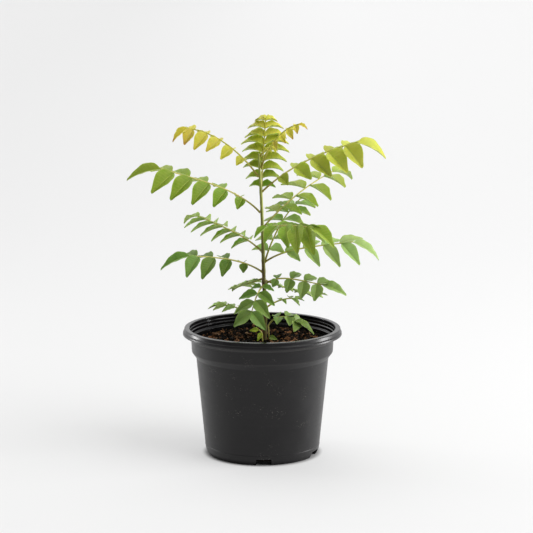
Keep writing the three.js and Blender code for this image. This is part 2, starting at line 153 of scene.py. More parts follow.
class Wire:
    """A value in a node tree. Sums written with it become Math nodes."""

    def __init__(self, tree, socket):
        self.tree, self.socket = tree, socket


# Each sign works with the wire on its left, and on its right.
SIGNS = dict(add="ADD", sub="SUBTRACT", mul="MULTIPLY", truediv="DIVIDE", pow="POWER")
for sign, operation in SIGNS.items():
    setattr(Wire, f"__{sign}__", lambda one, other, sign=operation: sum_of(sign, one, other))
    setattr(Wire, f"__r{sign}__", lambda one, other, sign=operation: sum_of(sign, other, one))


def is_vector(value):
    return value.socket.type == "VECTOR" if isinstance(value, Wire) else isinstance(value, (tuple, Vector))


def node(tree, kind, inputs=None, **settings):
    """Adds a node with its settings, and feeds its inputs, by name or number, from wires or plain values."""
    made = tree.nodes.new(kind)
    for name, value in settings.items():
        setattr(made, name, value)
    for key, value in (inputs or {}).items():
        if isinstance(value, Wire):
            tree.links.new(value.socket, made.inputs[key])
        else:
            made.inputs[key].default_value = value
    return made


def out(made, key=0):
    return Wire(made.id_data, made.outputs[key])


def sum_of(operation, *terms):
    """A Math or Vector Math node, whichever suits its terms."""
    tree = next(term.tree for term in terms if isinstance(term, Wire))
    vectors = [is_vector(term) for term in terms]
    if operation == "MULTIPLY" and sum(vectors) == 1:
        vector, scale = terms if vectors[0] else terms[::-1]
        return out(node(tree, "ShaderNodeVectorMath", {0: vector, "Scale": scale}, operation="SCALE"))
    kind = "ShaderNodeVectorMath" if any(vectors) else "ShaderNodeMath"
    return out(node(tree, kind, dict(enumerate(terms)), operation=operation))


def ramp(value, low, high, smooth=True):
    """0 below low, 1 above high, and a smooth rise between them."""
    kind = "SMOOTHSTEP" if smooth else "LINEAR"
    return out(node(value.tree, "ShaderNodeMapRange", {"Value": value, "From Min": low, "From Max": high},
                    interpolation_type=kind))


def blend(factor, first, second):
    """A mix of two colours."""
    inputs = {"Factor": factor, 6: first, 7: second}
    return out(node(factor.tree, "ShaderNodeMix", inputs, data_type="RGBA"), 2)


def noise_at(place, scale, detail=3, roughness=0.5):
    return out(node(place.tree, "ShaderNodeTexNoise",
                    {"Vector": place, "Scale": scale, "Detail": detail, "Roughness": roughness}), "Fac")


def cells_at(place, scale, feature="F1"):
    """Distance to the nearest cell's middle, or to the edge between cells."""
    return out(node(place.tree, "ShaderNodeTexVoronoi", {"Vector": place, "Scale": scale}, feature=feature),
               "Distance")


def coordinate(place, axis):
    return out(node(place.tree, "ShaderNodeSeparateXYZ", {0: place}), axis)


def on_piece(tree):
    """The place of a point on its piece, in metres from the origin."""
    return out(node(tree, "ShaderNodeTexCoord"), "Object")


def facing(tree, way):
    """How far the surface faces a way: above 0 towards it, below 0 away from it."""
    normal = out(node(tree, "ShaderNodeNewGeometry"), "Normal")
    return out(node(tree, "ShaderNodeVectorMath", {0: way, 1: normal}, operation="DOT_PRODUCT"), "Value")


def new_group(name, kind, inputs, outputs):
    """An empty node group; returns its tree, its input wires and its output node.

    Each input is given its usual value, or only its kind where every use of the group sets it.
    """
    tree = bpy.data.node_groups.new(name, f"{kind}NodeTree")
    kinds = {float: "Float", int: "Int", tuple: "Color"}
    for label, value in inputs.items():
        socket = kinds.get(type(value), value)
        made = tree.interface.new_socket(label, in_out="INPUT", socket_type=f"NodeSocket{socket}")
        if value is not socket:
            made.default_value = value
    for label, socket in outputs.items():
        tree.interface.new_socket(label, in_out="OUTPUT", socket_type=f"NodeSocket{socket}")
    start = tree.nodes.new("NodeGroupInput")
    wires = {label: out(start, label) for label in inputs}
    return tree, wires, tree.nodes.new("NodeGroupOutput")


def connect(end, **wires):
    """Leads wires to a group's outputs."""
    for label, wire in wires.items():
        end.id_data.links.new(wire.socket, end.inputs[label.replace("_", " ")])


def use(tree, group, inputs):
    """Places a node group in a tree."""
    kind = "ShaderNodeGroup" if tree.type == "SHADER" else "GeometryNodeGroup"
    return node(tree, kind, inputs, node_tree=group)


def new_material(name, **settings):
    """A material whose shader has these plain settings; returns it, its tree and its shader."""
    material = bpy.data.materials.new(name)
    material.use_nodes = True
    tree = material.node_tree
    shader = tree.nodes["Principled BSDF"]
    for label, value in settings.items():
        shader.inputs[label.replace("_", " ")].default_value = value
    return material, tree, shader


def drive(shader, colour, roughness, height, depth, strength):
    """Feeds the shader's colour and roughness, and a bump of this real depth."""
    tree = shader.id_data
    bump = node(tree, "ShaderNodeBump", {"Height": height, "Distance": depth, "Strength": strength})
    for wire, label in ((colour, "Base Color"), (roughness, "Roughness"), (out(bump, "Normal"), "Normal")):
        tree.links.new(wire.socket, shader.inputs[label])


# Grit that settles on plastic and leaves: a mask of scattered specks, and a thin uneven film.
grit, grit_in, grit_end = new_group(
    "grit", "Shader", {"Place": "Vector", "Speck scale": 700.0, "Amount": "Float"},
    {"Specks": "Float", "Film": "Float"})
speck_chance = ramp(noise_at(grit_in["Place"], 60, 4, 0.7), 0.52, 0.7)
specks = 1.0 - ramp(cells_at(grit_in["Place"], grit_in["Speck scale"]), 0.1, 0.26)
specks = specks * speck_chance * grit_in["Amount"]
lightening = ramp(noise_at(grit_in["Place"], 35, 5, 0.6), 0.4, 0.75) * grit_in["Amount"]
connect(grit_end, Specks=specks, Film=lightening)

# Bands of height, in metres, of painted highlight under the lip's ledge and along the shoulder's lower edge:
# each starts, is full, starts to fade and ends. Dust also lies on the foot, up to a height.
UNDER_LIP_HIGHLIGHT, SHOULDER_HIGHLIGHT = (0.1168, 0.1178, 0.1193, 0.1201), (0.1034, 0.104, 0.1046, 0.1054)
DUSTY_FOOT = 0.03


def band(height, start, full, fade, end):
    return ramp(height, start, full) * (1.0 - ramp(height, fade, end))


pot_plastic, tree, shader = new_material("black_polypropylene", IOR=1.49, Specular_IOR_Level=0.34)
place = on_piece(tree)
flow = out(node(tree, "ShaderNodeMapping", {"Vector": place, "Scale": (1.0, 1.0, 14.0)}))
dust = use(tree, grit, {"Place": place, "Amount": 0.55})
height = coordinate(place, "Z")
low_dust = 1.0 - ramp(height, 0.0, DUSTY_FOOT)
outside = ramp(facing(tree, place * (1.0, 1.0, 0.0)), 0.02, 0.03)
base = blend(noise_at(flow, 22, 4, 0.6), (0.0032, 0.0028, 0.0034, 1), (0.0062, 0.0057, 0.0066, 1))
# Painted highlights: pale bands under the lip and along the shoulder's lower edge, on outer faces only,
# lightened together with the dust.
painted_highlights = (band(height, *UNDER_LIP_HIGHLIGHT) * 2.0 + band(height, *SHOULDER_HIGHLIGHT)) * outside
lightening = out(dust, "Film") * 0.05 + low_dust * 0.03 + painted_highlights * 0.12
base = blend(lightening, base, (0.11, 0.105, 0.1, 1))
base = blend(out(dust, "Specks"), base, (0.3, 0.28, 0.25, 1))
gloss = 0.17 + (noise_at(flow, 40, 4, 0.6) * 0.12 + out(dust, "Film") * 0.2 + 0.1) * outside
peel = noise_at(place, 900, 2) + noise_at(flow, 45) * 2.0
drive(shader, base, gloss, peel, depth=0.00004, strength=0.35)
pot.data.materials.clear()
pot.data.materials.append(pot_plastic)
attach(pot, "root")
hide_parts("pot")

# ---------------- soil
# Dark peat mixed with composted bark, loose on top. The bed is one turned body with a crumbly surface, and
# crumbs, small pieces and flakes of bark are strewn over it.

SOIL_LEVEL, SOIL_MOUND, SOIL_ROUGHNESS, FINE_ROUGHNESS, COLLAR_RADIUS = 113.5, 1, 1, 1.1, 71.5
SOIL_SECTION = [(0, 3.3), (52, 3.3), (63.8, 98.4), (67.5, 104.4), (67.8, 112.5)]
SOIL_RINGS, SOIL_SIDES, SOIL_CREASE = 56, 120, 28


def soil_height(x, y):
    """Height of the soil, in millimetres: a low mound with lumps as in the solid, and finer crumbs on top."""
    r = hypot(x, y) / COLLAR_RADIUS
    crumbs = sin(x * 0.31 + 1) * cos(y * 0.37) + 0.7 * sin(x * 0.13 - y * 0.21 + 2)
    fine = noise.fractal(Vector((x, y, 0)) * 0.28, 0.9, 2.1, 4)
    return SOIL_LEVEL + SOIL_MOUND * (1 - r * r) + SOIL_ROUGHNESS * crumbs / 1.7 + FINE_ROUGHNESS * fine


edge = SOIL_SECTION[-1][0]
inward = [Vector((edge * (1 - ring / SOIL_RINGS), SOIL_LEVEL)) for ring in range(SOIL_RINGS + 1)]
soil = turned("potting_mix", [Vector(point) for point in SOIL_SECTION] + inward, SOIL_SIDES)
for vertex in soil.data.vertices:
    if vertex.co.z > (SOIL_LEVEL - 0.01) * MM:
        vertex.co.z = soil_height(vertex.co.x / MM, vertex.co.y / MM) * MM


def read(tree, name, kind="FLOAT"):
    """A named attribute of the geometry."""
    return out(node(tree, "GeometryNodeInputNamedAttribute", {"Name": name}, data_type=kind), "Attribute")


def store(geometry, name, value, kind="FLOAT", domain="POINT"):
    """The geometry with a value kept on it under a name."""
    return out(node(geometry.tree, "GeometryNodeStoreNamedAttribute",
                    {"Geometry": geometry, "Name": name, "Value": value}, data_type=kind, domain=domain))


def random_between(tree, low, high, seed):
    """A draw for each point, between two numbers."""
    return out(node(tree, "FunctionNodeRandomValue", {2: low, 3: high, "Seed": seed}, data_type="FLOAT"), 1)


def position(tree):
    return out(node(tree, "GeometryNodeInputPosition"))


def outwards(tree):
    return out(node(tree, "GeometryNodeInputNormal"))


def moved(geometry, **where):
    """The geometry with its points put at a Position or moved by an Offset."""
    return out(node(geometry.tree, "GeometryNodeSetPosition", {"Geometry": geometry, **where}))


def repeated(points, instance, **how):
    """A copy of the instance at each point, made real."""
    how = {"Points": points, "Instance": instance, **how}
    copies = node(points.tree, "GeometryNodeInstanceOnPoints", how)
    return out(node(points.tree, "GeometryNodeRealizeInstances", {0: out(copies)}))


def together(*pieces):
    """Several geometries in one."""
    made = node(pieces[0].tree, "GeometryNodeJoinGeometry")
    for piece in pieces:
        made.id_data.links.new(piece.socket, made.inputs[0])
    return out(made)


def painted(geometry, material):
    return out(node(geometry.tree, "GeometryNodeSetMaterial", {"Geometry": geometry, "Material": material}))


# What is strewn, from fine to coarse, in metres; each width and thickness is a part of a lump's size.
LUMP_SIZES = ("Apart", "Smallest", "Largest", "Width", "Thickness", "Tilt", "Facets", "Rim", "Bark")
LUMPS = {
    "Crumbs": (0.0009, 0.0009, 0.0026, 0.8, 0.7, 1.5, 1, 0.0665, 0.0),
    "Pieces": (0.0021, 0.002, 0.0068, 0.42, 0.36, 0.9, 2, 0.065, 0.6),
    "Flakes": (0.006, 0.005, 0.0105, 0.5, 0.26, 0.45, 3, 0.061, 1.0),
}

# Strews rough lumps over upward faces: each is a faceted ball, pressed flat and broken up by noise.
strewn, strewn_in, strewn_end = new_group(
    "strewn lumps", "Geometry",
    {"Bed": "Geometry", "Number per square metre": "Float", **dict.fromkeys(LUMP_SIZES, "Float"),
     "Facets": "Int", "Seed": "Int"}, {"Lumps": "Geometry"})
place = position(strewn)
from_axis = (coordinate(place, "X") ** 2.0 + coordinate(place, "Y") ** 2.0) ** 0.5
faces_up = sum_of("GREATER_THAN", coordinate(outwards(strewn), "Z"), 0.4)
within = sum_of("LESS_THAN", from_axis, strewn_in["Rim"])
spread = node(strewn, "GeometryNodeDistributePointsOnFaces", {
    "Mesh": strewn_in["Bed"], "Selection": faces_up * within, "Distance Min": strewn_in["Apart"],
    "Density Max": strewn_in["Number per square metre"], "Seed": strewn_in["Seed"]},
    distribute_method="POISSON")
lump = node(strewn, "GeometryNodeMeshIcoSphere", {"Radius": 0.5, "Subdivisions": strewn_in["Facets"]})
spin = random_between(strewn, 0.0, 2 * pi, 11)
lean = random_between(strewn, -1.0, 1.0, 12) * strewn_in["Tilt"]
roll = random_between(strewn, -1.0, 1.0, 13) * strewn_in["Tilt"]
turn = out(node(strewn, "ShaderNodeCombineXYZ", {"X": lean, "Y": roll, "Z": spin}))
luck = random_between(strewn, 0.0, 1.0, 14) ** 2.2
size = strewn_in["Smallest"] + (strewn_in["Largest"] - strewn_in["Smallest"]) * luck
stretch = random_between(strewn, 0.7, 1.5, 15)
shape = out(node(strewn, "ShaderNodeCombineXYZ", {
    "X": size * stretch, "Y": size * strewn_in["Width"], "Z": size * strewn_in["Thickness"]}))
points = store(out(spread, "Points"), "tone", random_between(strewn, 0.0, 1.0, 16))
points = store(points, "bark", strewn_in["Bark"])
points = store(points, "lump", size)
loose = repeated(points, out(lump), Rotation=turn, Scale=shape)
place = position(strewn)
rough = noise_at(place, 900, 2) - 0.5 + (noise_at(place, 330, 2) - 0.5) * 1.6
connect(strewn_end, Lumps=moved(loose, Offset=outwards(strewn) * (rough * read(strewn, "lump") * 0.55)))

bed, bed_in, bed_end = new_group(
    "soil with bark", "Geometry",
    {"Bed": "Geometry", "Crumbs": 260000.0, "Pieces": 120000.0, "Flakes": 5000.0, "Seed": 5,
     "Material": "Material"}, {"Soil": "Geometry"})
strewn_parts = [out(use(bed, strewn, {
    "Bed": bed_in["Bed"], "Number per square metre": bed_in[kind], "Seed": bed_in["Seed"] + float(index),
    **dict(zip(LUMP_SIZES, sizes))})) for index, (kind, sizes) in enumerate(LUMPS.items())]
connect(bed_end, Soil=painted(together(bed_in["Bed"], *strewn_parts), bed_in["Material"]))


def grown(piece, group, **values):
    """Runs a geometry node group on an object and leaves a plain mesh in its place."""
    modifier = piece.modifiers.new(group.name, "NODES")
    modifier.node_group = group
    for item in group.interface.items_tree:
        if item.in_out == "INPUT" and item.name.replace(" ", "_") in values:
            modifier[item.identifier] = values[item.name.replace(" ", "_")]
    return applied(piece)


def kept(tree, name):
    """A number kept on the piece's mesh, for a material to read."""
    return out(node(tree, "ShaderNodeAttribute", attribute_name=name), "Fac")


soil_mix, tree, shader = new_material("peat_and_bark", IOR=1.45, Specular_IOR_Level=0.08)
place, tone, bark = on_piece(tree), kept(tree, "tone"), kept(tree, "bark")
grain = noise_at(place, 700, 4, 0.65)
patch = noise_at(place, 90)
peat = blend(grain * 0.6 + patch * 0.4, (0.001, 0.0007, 0.0004, 1), (0.009, 0.006, 0.0035, 1))
flake = blend(ramp(tone, 0.35, 0.95), (0.004, 0.003, 0.002, 1), (0.42, 0.2, 0.095, 1))
flake = blend(ramp(tone, 0.95, 0.99), flake, (0.6, 0.36, 0.22, 1))
flake = blend(ramp(grain, 0.42, 0.68) * 0.6, flake, (0.01, 0.006, 0.003, 1))
drive(shader, blend(bark * ramp(tone, 0.1, 0.4), peat, flake), 0.72 + grain * 0.2,
      grain + patch * 0.5, depth=0.0006, strength=0.8)
soil = grown(soil, bed, Material=soil_mix)
shade(soil, SOIL_CREASE)
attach(soil, "root")
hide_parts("soil")

# ---------------- stem
# One thin stem, woody and brown at the soil and olive green above, swollen a little where each frond leaves
# it. It stands in the soil and wanders slightly from side to side.

# Its centre line: height and sideways offset, in millimetres.
STEM_LINE = [(82, 1.6), (110, 2.2), (140, 2.9), (178, 1.5), (214, 0.6), (241, -0.3), (264, -1.3),
             (286, -2.5), (303, -3.5)]
STEM_BASE_RADIUS, STEM_TOP_RADIUS = 2.3, 1.3
STEM_POINT_LOSS, STEM_POINT_SUDDENNESS = 0.6, 16
STEM_STEP, STEM_SIDES, STALK_CREASE = 1.7, 18, 50
# The stem swells by this part of its radius, and over about this length, where a frond leaves it.
NODE_SWELLING, NODE_LENGTH = 0.16, 2.2
NODE_HEIGHTS = [138, 148, 172, 176, 185, 195, 205, 229, 245, 265, 281, 290]


def mix(low, high, t):
    return low + (high - low) * t


def stem_centre(height):
    """The stem's centre at a height, in millimetres."""
    for (z0, x0), (z1, x1) in zip(STEM_LINE, STEM_LINE[1:]):
        if height <= z1:
            break
    return Vector((mix(x0, x1, (height - z0) / (z1 - z0)), 0, height))


def stem_radius(height):
    part = (height - STEM_LINE[0][0]) / (STEM_LINE[-1][0] - STEM_LINE[0][0])
    return mix(STEM_BASE_RADIUS, STEM_TOP_RADIUS, part) - STEM_POINT_LOSS * part ** STEM_POINT_SUDDENNESS


def line_mesh(name, points, radii):
    """A line of joined points, in millimetres, that carries its own thickness and how far along each is."""
    mesh = bpy.data.meshes.new(name)
    mesh.from_pydata([point * MM for point in points], [(i, i + 1) for i in range(len(points) - 1)], [])
    thickness = mesh.attributes.new("radius", "FLOAT", "POINT")
    travel = mesh.attributes.new("travel", "FLOAT", "POINT")
    for index, radius in enumerate(radii):
        thickness.data[index].value = radius * MM
        travel.data[index].value = index / (len(points) - 1)
    return new_object(name, mesh)


# A round stalk along a line, as thick as the line says, with a slightly uneven skin.
stalk, stalk_in, stalk_end = new_group(
    "stalk", "Geometry",
    {"Line": "Geometry", "Sides": "Int", "Unevenness": "Float", "Grain": 600.0, "Material": "Material"},
    {"Stalk": "Geometry"})
ring = node(stalk, "GeometryNodeCurvePrimitiveCircle", {"Resolution": stalk_in["Sides"], "Radius": 1.0})
path = out(node(stalk, "GeometryNodeMeshToCurve", {"Mesh": stalk_in["Line"]}))
skin = node(stalk, "GeometryNodeCurveToMesh", {
    "Curve": path, "Profile Curve": out(ring), "Scale": read(stalk, "radius"), "Fill Caps": True})
stretched = sum_of("MULTIPLY", position(stalk), (1.0, 1.0, 0.35))
bumps = (noise_at(stretched, stalk_in["Grain"], 3, 0.6) - 0.5) * stalk_in["Unevenness"]
connect(stalk_end, Stalk=painted(moved(out(skin), Offset=outwards(stalk) * bumps), stalk_in["Material"]))

# The side of the stem that faces the key light, where the bark is painted paler as painted light.
KEY_LIGHT_SIDE = (0.93, -0.36, 0.0)

stem_bark, tree, shader = new_material("stem_bark", IOR=1.45, Specular_IOR_Level=0.3)
place = on_piece(tree)
height = coordinate(place, "Z")
drawn = out(node(tree, "ShaderNodeMapping", {"Vector": place, "Scale": (1.0, 1.0, 0.16)}))
fissures = noise_at(drawn, 1500, 4, 0.6)
blotches = noise_at(place, 180, 3, 0.6)
woody = blend(fissures, (0.02, 0.013, 0.005, 1), (0.15, 0.09, 0.035, 1))
olive = blend(fissures, (0.07, 0.075, 0.01, 1), (0.2, 0.21, 0.035, 1))
colour = blend(ramp(height + (blotches - 0.5) * 0.05, 0.165, 0.235), woody, olive)
colour = blend(ramp(height, 0.22, 0.29) * 0.6, colour, (0.26, 0.32, 0.05, 1))
# Painted light: bark facing the key light is lightened, more so higher up the stem.
painted_light_side = ramp(facing(tree, KEY_LIGHT_SIDE) + (blotches - 0.5) * 0.4, 0.3, 0.9)
colour = blend(painted_light_side * (0.25 + ramp(height, 0.17, 0.24) * 0.5), colour, (0.6, 0.62, 0.2, 1))
warts = 1.0 - ramp(cells_at(place, 420.0), 0.12, 0.3)
colour = blend(warts * 0.3, colour, (0.34, 0.3, 0.14, 1))
drive(shader, colour, 0.55 + fissures * 0.2, fissures + warts * 0.6, depth=0.00012, strength=0.7)

stem_steps = round((STEM_LINE[-1][0] - STEM_LINE[0][0]) / STEM_STEP)
heights = [STEM_LINE[0][0] + step * STEM_STEP for step in range(stem_steps + 1)]
swellings = [sum(exp(-((height - node_height) / NODE_LENGTH) ** 2) for node_height in NODE_HEIGHTS)
             for height in heights]
stem = line_mesh("stem_with_bark", [stem_centre(height) for height in heights],
                 [stem_radius(height) * (1 + NODE_SWELLING * min(swelling, 1))
                  for height, swelling in zip(heights, swellings)])
stem = grown(stem, stalk, Sides=STEM_SIDES, Unevenness=0.0006, Material=stem_bark)
shade(stem, STALK_CREASE)
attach(stem, "root")
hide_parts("stem")

# ---------------- fronds
# Each frond is a thin arched rachis with small folded leaflets on short stalks. Old leaflets are dark and
# slightly waxy, young ones yellow with brown tips, and all are paler and duller underneath.

FIRST_SEED = 101
GAP, INTO_BARK = 0.3, 0.9
RACHIS_BASE_RADIUS, RACHIS_TIP_RADIUS, RACHIS_STEPS = 0.95, 0.55, 24
# The rachis widens by this part where it leaves the bark, and less with each step.
FLARE, FLARE_FADE = 0.45, 1.3
LEAFLET_FOLD, OBLIQUE = 32, 0.15
# How soon along a frond its pairs reach their full size and their last angle.
SETTLING = 2.5
# How far leaflets of one frond differ: part of their size, degrees of spread and of droop, and their youth.
SIZE_DRAW, SPREAD_DRAW, DROOP_DRAW, YOUTH_DRAW = 0.05, 4, 5, 0.06
# The end leaflet starts this far back on the rachis, and is narrower and bends more than the others.
END_OVERLAP, END_WIDTH, END_CURL = 0.8, 0.95, 1.7

# What every frond has unless its own row says otherwise. Headings are degrees in plan from +X towards +Y.
COMMON = dict(
    swing=0,  # change of heading from stem to tip
    sag=1,  # above 1, the frond levels off early; below 1, late
    roll=0,  # turns the frond's left side down
    droop=20,  # both sides hang this far below the frond's plane
    hang=0,  # the last pair droops this much more than the first
    twist=22,  # turns the blades' faces towards the frond's tip
    first=0.2,  # where along the rachis the first and last pairs stand
    last=0.89,
    wide=0.26,  # widest half-width over the length of a full-size leaflet
    small=0.6,  # size of the first pair against a full-size leaflet
    final=1,  # size of the last pair
    spread=(75, 65),  # angle of the first and last pairs to the rachis
    lean=0,  # left leaflets point this much more towards the frond's tip
    stagger=0.12,  # left leaflets stand this part of a spacing before the right ones
    curl=22,  # how far a leaflet bends down along its length
    nod=16,  # the end leaflet tips down this far where it starts, and turns left
    turn=0,
    end=1.1,  # length of the end leaflet against a full-size one
    open=False,  # the last left leaflet is missing
)

# The fronds, from the soil up: where each leaves the stem and heads, how long it is, how steeply it starts
# and ends, its pairs of leaflets and their length, in millimetres and degrees, how young its leaflets are at
# the stem and at its tip (0 is dark and old, 1 is new growth), then what sets it apart.
FROND_COLUMNS = ("height", "heading", "length", "rise", "fall", "pairs", "leaf", "youth")
# The low fronds at the back, frond_01, frond_02, frond_05, frond_06 and frond_09, are given young, pale
# leaflets partly as painted light, for the light that shines through them from behind.
FRONDS = {
    "side_shoot": (129, 10, 31, 62, -40, 3, 15, (0.25, 0.4), dict(swing=-20, roll=-15, droop=5, twist=12,
        first=0.45, last=0.97, wide=0.38, small=0.8, spread=(105, 58), curl=12, nod=-18, end=1.65)),
    "frond_01": (138, 155, 46, 18, 8, 3, 15, (0.7, 0.8), dict(swing=10, roll=15, droop=15, twist=8, first=0.5,
        small=0.8, spread=(60, 45), curl=10, nod=22)),
    "frond_02": (148, 40, 35, 25, -8, 2, 12, (0.7, 0.7), dict(swing=-10, roll=-20, droop=10, twist=8,
        first=0.55, curl=12, nod=0)),
    "frond_03": (171, 250, 40, -10, -55, 4, 25, (0.05, 0.25), dict(roll=5, droop=10, twist=10, first=0.14,
        last=0.97, wide=0.265, small=0.55, spread=(100, 50), nod=2, turn=45, end=0.95, open=True)),
    "frond_04": (173, 348, 58, 38, -10, 4, 19, (0.25, 0.45), dict(sag=3.6, roll=-38, droop=14, twist=8,
        last=0.9, wide=0.32, small=0.52, spread=(125, 80), lean=32, stagger=0, nod=0, end=1.45)),
    "frond_05": (177, 125, 43, -19, -20, 4, 16, (1, 1), dict(droop=5, twist=0, small=0.8, spread=(75, 75),
        curl=9, nod=0, end=1)),
    "frond_06": (175, 35, 65, -24, -13, 5, 16, (0.9, 0.9), dict(droop=5, twist=0, spread=(75, 75), curl=9,
        nod=-10, end=1)),
    "frond_07": (185, 190, 75, 35, 5, 4, 26, (0.02, 0.15), dict(sag=2.4, roll=30, droop=30, first=0.27,
        wide=0.265, small=0.4, spread=(98, 57), nod=17, end=1.3)),
    "frond_08": (195, 350, 91, 36, 8, 4, 28.5, (0.55, 0.7), dict(sag=3.5, roll=-36, droop=22, first=0.26,
        last=0.865, wide=0.215, small=0.56, spread=(50, 55), lean=15, nod=36, end=1.3)),
    "frond_09": (196, 46, 80, 66, 24, 6, 28, (1, 1.05), dict(swing=8, droop=-8, twist=35, first=0.14,
        last=0.88, wide=0.24, small=0.8, spread=(88, 88), curl=25, nod=20)),
    "frond_10": (205, 138, 90, 32, 12, 6, 25.5, (0.05, 0.15), dict(sag=3, roll=6, droop=13, twist=30,
        first=0.23, last=0.91, wide=0.24, small=0.8, spread=(60, 55), curl=30, nod=10, end=1)),
    "frond_11": (229, 306, 72, 14, 0, 5, 33, (0, 0.25), dict(swing=8, roll=-12, droop=6, hang=42, twist=10,
        first=0.12, last=0.9, spread=(98, 50), nod=14, end=1)),
    "frond_12": (230, 42, 105, 37, 16, 4, 32, (0.22, 0.38), dict(roll=-9, droop=0, twist=30, first=0.27,
        last=0.88, small=0.7, spread=(78, 89), stagger=0.3, nod=17)),
    "frond_13": (245, 190, 109, 47, 17, 5, 32, (0.06, 0.28), dict(sag=2.9, roll=30, droop=30, first=0.22,
        wide=0.255, small=0.43, spread=(85, 56), nod=24, end=1.2)),
    "frond_14": (266, 350, 107, 44, 17, 5, 30, (0.3, 0.8), dict(sag=1.4, roll=-27, droop=33, last=0.88,
        wide=0.297, small=0.42, spread=(71, 61), nod=35, end=1.2)),
    "frond_15": (264, 82, 77, 74, 58, 9, 30.5, (0.1, 1.15), dict(droop=0, twist=46, first=0.07, last=0.97,
        wide=0.25, small=0.5, final=0.43, spread=(66, 62), stagger=0, curl=58, nod=0, end=0.35)),
    "frond_16": (281, 192, 87, 54, -5, 5, 22.5, (0.4, 0.9), dict(sag=0.5, roll=28, droop=32, first=0.25,
        last=0.915, wide=0.27, small=0.5, final=0.85, spread=(90, 64), stagger=-0.15, nod=22, end=0.95)),
    "frond_17": (290, 335, 62, 72, 6, 4, 14, (0.5, 1.0), dict(sag=0.6, roll=-28, droop=32, first=0.48,
        last=0.93, small=0.62, final=0.7, spread=(106, 81), nod=20, end=0.75)),
    "frond_18": (301, 16, 15, 62, 0, 2, 9, (0.6, 0.62), dict(roll=-20, droop=10, first=0.6, last=0.9,
        small=0.8, end=0.9)),
}


def frond_from(name):
    """Everything about one frond."""
    *columns, others = FRONDS[name]
    return SimpleNamespace(**(COMMON | dict(zip(FROND_COLUMNS, columns)) | others))


def towards(one, other, angle):
    """One direction turned towards another, square to it, by an angle in degrees."""
    return one * cos(radians(angle)) + other * sin(radians(angle))


def direction_at(frond, s):
    """The way the rachis runs at a place along it, and its heading there."""
    elevation = radians(frond.fall + (frond.rise - frond.fall) * (1 - s) ** frond.sag)
    heading = radians(frond.heading + frond.swing * s)
    level = cos(elevation)
    return Vector((level * cos(heading), level * sin(heading), sin(elevation))), heading


def rachis_line(frond):
    """The rachis's points, in millimetres, from just clear of the bark."""
    heading = radians(frond.heading)
    outward = Vector((cos(heading), sin(heading), 0))
    slant = RACHIS_BASE_RADIUS * abs(sin(radians(frond.rise)))
    clear = stem_radius(frond.height) + GAP + slant
    points = [stem_centre(frond.height) + outward * clear]
    for step in range(RACHIS_STEPS):
        way, _ = direction_at(frond, (step + 0.5) / RACHIS_STEPS)
        points.append(points[-1] + way * frond.length / RACHIS_STEPS)
    return points


def point_on(line, s):
    """The point this part of the way along a line."""
    place = max(0.0, min(s, 1.0)) * (len(line) - 1)
    index = min(int(place), len(line) - 2)
    return line[index].lerp(line[index + 1], place - index)


def axes_at(frond, s):
    """Out along the rachis, to its left, and its upper side."""
    outward, heading = direction_at(frond, s)
    left = Vector((-sin(heading), cos(heading), 0))
    upper = outward.cross(left)
    return outward, towards(left, -upper, frond.roll), towards(upper, left, frond.roll)


def draws(seed):
    """A repeatable stream of draws from -1 to 1."""
    state = seed
    while True:
        state = state * 16807 % 2147483647
        yield 2 * state / 2147483647 - 1


def pair_size(frond, u):
    """Size of a pair of leaflets, where u goes from 0 at the first pair to 1 at the last."""
    return 1 - (1 - frond.small) * (1 - u) ** SETTLING - (1 - frond.final) * u ** 4


def side_leaflet(frond, line, u, side, draw):
    """Where and how one leaflet of a pair stands; side is 1 on the left and -1 on the right."""
    spacing = (frond.last - frond.first) / (frond.pairs - 1)
    s = mix(frond.first, frond.last, u) - (frond.stagger * spacing if side > 0 else 0)
    outward, left, upper = axes_at(frond, s)
    size = pair_size(frond, u) * (1 + SIZE_DRAW * next(draw))
    lean = frond.lean if side > 0 else 0
    spread = mix(frond.spread[1], frond.spread[0], (1 - u) ** SETTLING)
    spread = spread - lean + SPREAD_DRAW * next(draw)
    droop = frond.droop + frond.hang * u + DROOP_DRAW * next(draw)
    along = towards(outward, towards(left * side, -upper, droop), spread)
    flat = towards(upper, left * side, droop)
    face = towards(flat, along.cross(flat) * side, frond.twist)
    return dict(root=point_on(line, s), along=along, face=face, length=frond.leaf * size, age=s,
                half_width=frond.leaf * frond.wide * sqrt(size), curl=frond.curl, oblique=-side * OBLIQUE)


def end_leaflet(frond, line):
    """Where and how the leaflet at the frond's tip stands."""
    outward, left, upper = axes_at(frond, 1)
    level = towards(outward, left, frond.turn)
    return dict(root=line[-1] - level * END_OVERLAP, along=towards(level, -upper, frond.nod),
                face=towards(upper, level, frond.nod), length=frond.leaf * frond.end,
                half_width=frond.leaf * frond.wide * END_WIDTH * min(1, frond.end),
                curl=END_CURL * frond.curl, oblique=0, age=1)


def leaflets_of(frond, line, seed):
    draw = draws(seed)
    leaflets = []
    for pair in range(frond.pairs):
        for side in (1, -1):
            leaflet = side_leaflet(frond, line, pair / (frond.pairs - 1), side, draw)
            if not (frond.open and pair == frond.pairs - 1 and side > 0):
                leaflets.append(leaflet)
    return leaflets + [end_leaflet(frond, line)]


